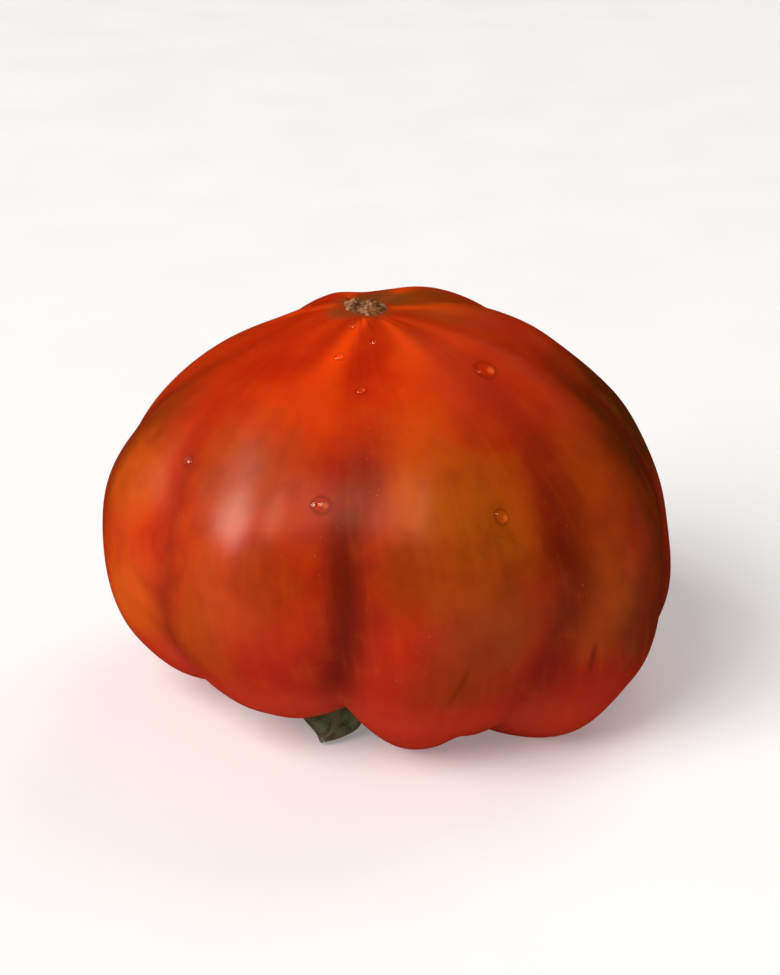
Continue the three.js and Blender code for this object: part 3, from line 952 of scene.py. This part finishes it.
def skin_over(x, y):
    """How high the skin hangs over x, y, from the t at which the skin has that radius."""
    turn = np.degrees(np.arctan2(x - AXIS[0], -(y - AXIS[1])))
    radius = np.hypot(x - AXIS[0], y - AXIS[1])
    outer = np.full_like(radius, 0.5)
    inner = np.ones_like(radius)
    for _ in range(HALVINGS):
        middle = (outer + inner) / 2
        found = fine_skin(turn, middle)
        wide = np.hypot(found[..., 0] - AXIS[0], found[..., 1] - AXIS[1]) > radius
        outer = np.where(wide, middle, outer)
        inner = np.where(wide, inner, middle)
    return fine_skin(turn, (outer + inner) / 2)[..., 2]


print("the hollow's top is", round(hollow_top, 2), "mm up")

# %% [markdown]
# Each sepal is a pointed blade a few millimetres wide, with a rib along its middle and edges that curl
# as it dries. Most follow the furrows, where there is room. A blade is a formula along its length and
# across its width: it hugs the skin above it, arches, and droops at its tip. The first one, which peeps
# out in front, is broad and has a lobe on one side. A row gives a blade's azimuth, length, half width,
# how many degrees it bends, and how far its tip droops.

# %% The sepals
SEPALS = [
    (-11, 29, 3.6, -6, 3.8), (-5, 26.5, 1.9, 10, 2.6), (30, 25, 2.3, 2, 2.5), (76, 28, 2.3, 1, 3),
    (121, 24, 2.3, 2, 1.5), (163, 29, 2.7, 1, 3), (212, 26, 2.4, -2, 2), (262, 29, 2.5, 3, 3.2),
    (307, 27, 2.7, -2, 2.6),
]
SEPAL_THICKNESS = 0.6
SEPAL_STATIONS = 90
SEPAL_COLUMNS = 23
SEPAL_START = RECEPTACLE_RADIUS * 0.45
BROAD = 3
TABLE_GAP = 0.3
EDGE_WAVE = 0.3
MIDRIB_HEIGHT = 0.35


def sepal(azimuth, length, half_width, bend, droop, turn):
    """One blade as a ringed body, with marks for how far along and across each point is."""
    u = np.linspace(0, 1, SEPAL_STATIONS)[:, None]
    side = np.sin(np.linspace(-np.pi / 2, np.pi / 2, SEPAL_COLUMNS))[None]
    nicks = 1 + 0.05 * np.sin(31 * u + turn) + 0.04 * np.sin(53 * u + 2 * turn)
    taper = 1 - u ** (9 if half_width > BROAD else 4)
    width = half_width * (0.6 + 0.4 * np.sin(np.pi * u)) * taper * nicks + 0.2
    if half_width > BROAD:
        lobe = 0.9 * (side < 0) * np.exp(-(((u - 0.8) / 0.05) ** 2))
        width = width * (1 + 0.5 * ease((u - 0.45) / 0.3) + lobe)
    r = SEPAL_START + u * (length - SEPAL_START)
    heading = np.radians(azimuth + bend * u**2)
    x = AXIS[0] + r * np.sin(heading) + side * width * np.cos(heading)
    y = AXIS[1] - r * np.cos(heading) + side * width * np.sin(heading)
    out = ease((r - SEPAL_START) / 16)
    spread = mix(hollow_top - 1.2, 4.6, out) + 0.5 * (1 - side**2)
    ruffle = EDGE_WAVE * out * side**2 * np.sin(26 * u + turn + 1.3 * side)
    fold = MIDRIB_HEIGHT * np.exp(-((side / 0.16) ** 2)) * (1 - u)
    thick = SEPAL_THICKNESS * (1 - 0.55 * side**2) * (1 - 0.4 * u)
    top = np.minimum(skin_over(x, y) - CLEARANCE, spread + ruffle) - droop * ease((u - 0.7) / 0.3)
    top = np.maximum(top, thick + fold + TABLE_GAP)
    upper = np.stack([x, y, top - 0.4 * fold], -1)
    lower = np.stack([x, y, top - thick - fold], -1)
    rings = np.concatenate([upper, lower[:, -2:0:-1]], 1)
    sides = np.concatenate([side[0], side[0, -2:0:-1]])
    body = ringed_body(rings, rings[0].mean(0), rings[-1].mean(0))
    along = with_poles(np.repeat(u, len(sides), 1), 0, 1)
    across = with_poles(np.repeat(sides[None], SEPAL_STATIONS, 0), 0, 0)
    return body, along, across


blades = [sepal(*row, turn=2.4 * i) for i, row in enumerate(SEPALS)]
print("sepals:", len(blades))

# %% [markdown]
# The sepals grow from the receptacle, a fleshy disc that is attached to the bottom of the hollow. It is
# turned from a short profile, and its rim swells where a sepal leaves it. Sepals and disc are one
# piece of plant, so they go into one mesh.

# %% The receptacle and the calyx
RECEPTACLE_SECTORS = 72
receptacle_profile = [(0.5, 1.12), (0.7, 1.02), (0.88, 0.75), (1, 0.5), (1, 0.35), (0.9, 0.15), (0.5, 0)]
turns = 2 * np.pi * np.arange(RECEPTACLE_SECTORS) / RECEPTACLE_SECTORS
headings = np.radians([row[0] for row in SEPALS])
swelling = sum(np.exp(-((np.sin((turns - h) / 2) / 0.16) ** 2)) for h in headings)
disc = []
for radius_share, height_share in receptacle_profile:
    radius = RECEPTACLE_RADIUS * radius_share * (1 + 0.08 * swelling)
    height = np.full_like(turns, hollow_top - RECEPTACLE_HEIGHT * (1 - height_share))
    disc.append(np.stack([AXIS[0] + radius * np.sin(turns), AXIS[1] - radius * np.cos(turns), height], -1))
disc = np.array(disc)
disc_body = ringed_body(disc, disc[0].mean(0), disc[-1].mean(0))
calyx_body = joined([disc_body] + [blade[0] for blade in blades])
disc_marks = np.zeros(len(disc_body[0]))
calyx_marks = {
    "along": np.concatenate([disc_marks] + [blade[1] for blade in blades]),
    "across": np.concatenate([disc_marks] + [blade[2] for blade in blades]),
}
print("the calyx has", len(calyx_body[1]), "faces")

# %% [markdown]
# A wilted sepal is grey green and matt, with a bloom of fine hairs, brown at its edges and its tip, and
# paler along its rib and veins. The hairs could be modelled, but at this size they only soften the
# light, which sheen and a fine bump do. The veins are a sine wave of how far along and across a point
# is, so that they slant from the rib towards the edge.

# %% The calyx's finish
LEAF_DARK = rgb(56, 78, 48)
LEAF_GREY = rgb(112, 138, 98)
LEAF_BROWN = rgb(84, 62, 34)
LEAF_PALE = rgb(128, 134, 92)
VEINS_ALONG = 60
VEIN_SLANT = 9
sepal_finish = Finish("wilted_sepal", {
    "Specular IOR Level": 0.35,
    "Sheen Weight": 0.25,
    "Sheen Roughness": 0.5,
})
place = sepal_finish.place()
along = sepal_finish.mark("along")
across = sepal_finish.mark("across")
patchy = sepal_finish.noise(place, 2.2, 4, 0.6)
base = sepal_finish.blend(patchy.between(0.35, 0.65), LEAF_DARK, LEAF_GREY)
edge = (across * across).between(0.55, 1.0)
base = sepal_finish.blend(edge * patchy.between(0.4, 0.6) * 0.8, base, LEAF_BROWN)
base = sepal_finish.blend(along.between(0.85, 1.0, 0, 0.5), base, LEAF_BROWN)
middle_rib = (across * across).between(0.035, 0.0)
base = sepal_finish.blend(middle_rib * 0.7, base, LEAF_PALE)
vein_phase = along * VEINS_ALONG + (across * across) ** 0.5 * VEIN_SLANT
veins = vein_phase.sine().between(0.7, 1.0)
base = sepal_finish.blend(veins * 0.3, base, LEAF_PALE)
fuzz = sepal_finish.noise(place, 0.35, 3, 0.7)
sepal_finish.paint({
    "Base Color": base,
    "Roughness": patchy.between(0.3, 0.7, 0.8, 0.6),
    "Normal": sepal_finish.bump(veins * -0.5 + fuzz + middle_rib, 0.15, 0.6),
})
make_piece("calyx_leaves", calyx_body, sepal_finish.material, "calyx", calyx_marks)

# %% [markdown]
# Below the disc hangs what is left of the stalk: a short ridged stub with the swollen knuckle at which
# a tomato breaks off its truss. It is a profile turned round, but its radius carries grooves that run
# down it, and the broken face at the end is rough and dished.

# %% The stem stub
STUB_RADIUS = 2.1
STUB_ROWS = 60
STUB_SECTORS = 60
STUB_OVERLAP = 0.3
DISH_DEPTH = 0.4
KNUCKLE = np.array([
    (0, 1.2), (0.15, 0.98), (0.45, 0.9), (0.66, 1.0), (0.82, 1.28), (0.93, 1.22), (0.985, 0.95), (1, 0.5),
])
stub_foot = np.array(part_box("stem_stub")[0])[2] / MM
stub_top = hollow_top - RECEPTACLE_HEIGHT + STUB_OVERLAP
drop_share = np.linspace(0, 1, STUB_ROWS)[:, None]
stub_turn = (2 * np.pi * np.arange(STUB_SECTORS) / STUB_SECTORS)[None]
grooves = 0.05 * np.sin(5 * stub_turn + 2 * drop_share) + 0.025 * np.sin(13 * stub_turn + 3 * drop_share)
torn = 0.05 * np.sin(9 * stub_turn + 2) * ease((drop_share - 0.9) / 0.1)
stub_radius = STUB_RADIUS * (np.interp(drop_share, KNUCKLE[:, 0], KNUCKLE[:, 1]) + grooves + torn)
splinters = 0.12 * np.sin(7 * stub_turn) * (drop_share > 0.95)
stub_height = stub_top - (stub_top - stub_foot) * drop_share + splinters
stub_rings = np.stack([
    AXIS[0] + stub_radius * np.sin(stub_turn),
    AXIS[1] - stub_radius * np.cos(stub_turn),
    np.broadcast_to(stub_height, stub_radius.shape),
], -1)
dish = np.array([AXIS[0], AXIS[1], stub_foot + DISH_DEPTH])
stub_body = ringed_body(stub_rings, stub_rings[0].mean(0), dish)
stub_marks = {"drop": with_poles(np.repeat(drop_share, STUB_SECTORS, 1), 0, 1)}
print("the stub is", round(float(stub_top - stub_foot), 2), "mm long")

# %% [markdown]
# The stub is green and fibrous, and turns brown and dry towards the break. Noise that is drawn out
# along the stub gives the fibres, and the same mark that shaped the knuckle says where the brown begins.

# %% The stub's finish
STALK_GREEN = rgb(62, 70, 36)
STALK_PALE = rgb(104, 108, 62)
BREAK_BROWN = rgb(120, 92, 56)
stub_finish = Finish("stem_stub", {"Specular IOR Level": 0.35})
place = stub_finish.place()
drop_mark = stub_finish.mark("drop")
fibres = stub_finish.noise(stub_finish.vector("MULTIPLY", place, (1, 1, 0.2)), 0.5, 4, 0.6)
base = stub_finish.blend(fibres.between(0.35, 0.65), STALK_GREEN, STALK_PALE)
base = stub_finish.blend(drop_mark.between(0.7, 0.98, 0, 0.9), base, BREAK_BROWN)
stub_finish.paint({
    "Base Color": base,
    "Roughness": fibres.between(0.3, 0.7, 0.85, 0.65),
    "Normal": stub_finish.bump(fibres, 0.2, 0.7),
})
make_piece("stem_stub_bark", stub_body, stub_finish.material, "stem_stub", stub_marks)

# %% [markdown]
# A drop is a low dome, rounder at its edge, that wets the skin. Each one is built on the skin's own
# surface: its rings are stepped out across the skin and lifted along the normal, and its underside is
# sunk a little, so it never floats. It casts no shadow, because clear water hardly does.

# %% The water drops
DROP_CIRCLES = 20
DROP_SECTORS = 48
DROP_SUNK = 0.12


def drop(azimuth, at, radius, height, turn):
    """A dome on the skin round a place."""
    azimuth, at = np.array(float(azimuth)), np.array(at)
    normal = outward(fine_skin, azimuth, at)
    per_degree = np.linalg.norm(fine_skin(azimuth + 0.5, at) - fine_skin(azimuth - 0.5, at))
    per_t = np.linalg.norm(fine_skin(azimuth, at + 0.005) - fine_skin(azimuth, at - 0.005)) / 0.01
    share = np.linspace(0, 1, DROP_CIRCLES + 1)[1:, None]
    sector = (2 * np.pi * np.arange(DROP_SECTORS) / DROP_SECTORS)[None]
    wobble = 0.07 * np.sin(2 * sector + turn) + 0.04 * np.sin(3 * sector + 2 * turn)
    reach = share * (radius * (1 + wobble))
    spot = fine_skin(azimuth + reach * np.sin(sector) / per_degree, at + reach * np.cos(sector) / per_t)
    rise = height * (1 - share**2) ** 0.7
    dome = spot + normal * rise[..., None]
    under = spot[::-4] - normal * DROP_SUNK
    centre = fine_skin(azimuth, at)
    rings = np.concatenate([dome, under])
    return ringed_body(rings, centre + normal * height, centre - normal * DROP_SUNK)


drops_body = joined([drop(*row[1:], turn=1.7 * i) for i, row in enumerate(DROPS)])
print("the drops have", len(drops_body[1]), "faces")

# %% [markdown]
# Water is the simplest finish here: it is clear and smooth, and bends light by its index of refraction.

# %% The drops' finish
water_finish = Finish("water", {
    "Base Color": (1, 1, 1, 1),
    "Roughness": 0.02,
    "IOR": 1.33,
    "Transmission Weight": 1.0,
})
drops = make_piece("water_drops", drops_body, water_finish.material)
drops.visible_shadow = False

# %% [markdown]
# The table is a plain pale surface, large enough that its far edge stays out of the picture. It glows
# a little, as a white table in a bright room seems to, but the fruit doesn't mirror it. Its colour is
# even, with a trace of roughness variation, so that nothing competes with the fruit.

# %% The table
TABLE_HALF = 20.0
table_mesh = bpy.data.meshes.new("table")
corners = [(x * TABLE_HALF, y * TABLE_HALF, 0) for x, y in [(-1, -1), (1, -1), (1, 1), (-1, 1)]]
table_mesh.from_pydata(corners, [], [(0, 1, 2, 3)])
table = bpy.data.objects.new("table", table_mesh)
bpy.context.scene.collection.objects.link(table)
table_finish = Finish("table", {
    "Base Color": (0.88, 0.88, 0.89, 1),
    "Emission Color": (1.0, 0.99, 1.0, 1),
    "Emission Strength": 0.21,
})
wear = table_finish.noise(table_finish.place(), 30, 3)
table_finish.paint({"Roughness": wear.between(0.3, 0.7, 0.5, 0.6)})
table_mesh.materials.append(table_finish.material)
table.visible_glossy = False
print("the table is", 2 * TABLE_HALF, "metres wide")

# %% [markdown]
# The light is split in two, as a photographer splits it with flags. A large key light on the left and
# a fill behind on the right shape the ribs, but aren't mirrored in the skin. A warm skylight and a
# window, both small, light nothing and are only mirrored: they are the soft highlights beside the
# central furrow and on the left rib. No lamp is seen through the drops, and the even world, which isn't
# mirrored either, fills the shadows, so that the far side of the fruit isn't lost. A row gives a
# lamp's azimuth, elevation, distance, size, power and colour, and whether it is for highlights only.

# %% The lights
AIM = (0, 0, 0.03)
LAMPS = [
    ("key", -50, 42, 3.0, 2.2, 96.0, (1.0, 0.97, 0.93), False),
    ("skylight", -20, 57, 0.9, 0.38, 5.0, (1.0, 0.76, 0.5), True),
    ("window", -80, 34, 0.9, 0.5, 10.5, (1.0, 0.95, 0.85), True),
    ("fill", 150, 38, 3.0, 1.8, 24.0, (1.0, 0.98, 0.96), False),
]


def softbox(name, azimuth, elevation, distance, side, power, colour, for_highlights):
    """A square area light on a sphere round the fruit."""
    light = bpy.data.lights.new(name, "AREA")
    light.size = side
    light.energy = power
    light.color = colour
    lamp = bpy.data.objects.new(name, light)
    a, e = math.radians(azimuth), math.radians(elevation)
    back = np.array([math.sin(a) * math.cos(e), -math.cos(a) * math.cos(e), math.sin(e)])
    lamp.location = np.array(AIM) + back * distance
    lamp.rotation_euler = (math.pi / 2 - e, 0, a)
    lamp.visible_diffuse = not for_highlights
    lamp.visible_glossy = for_highlights
    lamp.visible_transmission = False
    bpy.context.scene.collection.objects.link(lamp)


for row in LAMPS:
    softbox(*row)
print("lamps:", [row[0] for row in LAMPS])

# %% [markdown]
# The world is the light that comes from everywhere in a white room. It could be a picture of a studio,
# but an even tone is enough here, and it gives no reflections that would have to be explained.

# %% The world
WORLD_STRENGTH = 0.2
world = bpy.data.worlds.new("studio")
world.use_nodes = True
world.node_tree.nodes["Background"].inputs["Color"].default_value = (1.0, 0.99, 0.98, 1)
world.node_tree.nodes["Background"].inputs["Strength"].default_value = WORLD_STRENGTH
bpy.context.scene.world = world
world.cycles_visibility.glossy = False
print("the world's strength is", WORLD_STRENGTH)

# %% [markdown]
# The camera stands at the photograph's angle: 22 degrees above the table and 43 centimetres away, with
# a lens long enough that the fruit fills most of the picture's width. The plain view transform keeps
# the reds as strong as they are mixed.

# %% The camera
CAMERA_ELEVATION = math.radians(22)
CAMERA_DISTANCE = 0.43
LOOK_AT = (0, 0, 0.032)
camera = bpy.data.objects.new("camera", bpy.data.cameras.new("camera"))
camera.data.lens = 100
camera.data.sensor_width = 36
camera.data.clip_start = 0.01
camera.location = (
    LOOK_AT[0],
    LOOK_AT[1] - CAMERA_DISTANCE * math.cos(CAMERA_ELEVATION),
    LOOK_AT[2] + CAMERA_DISTANCE * math.sin(CAMERA_ELEVATION),
)
camera.rotation_euler = (math.pi / 2 - CAMERA_ELEVATION, 0, 0)
bpy.context.scene.collection.objects.link(camera)
bpy.context.scene.camera = camera
bpy.context.scene.view_settings.view_transform = "Standard"
print("the camera is at", [round(value, 3) for value in camera.location])

# %% [markdown]
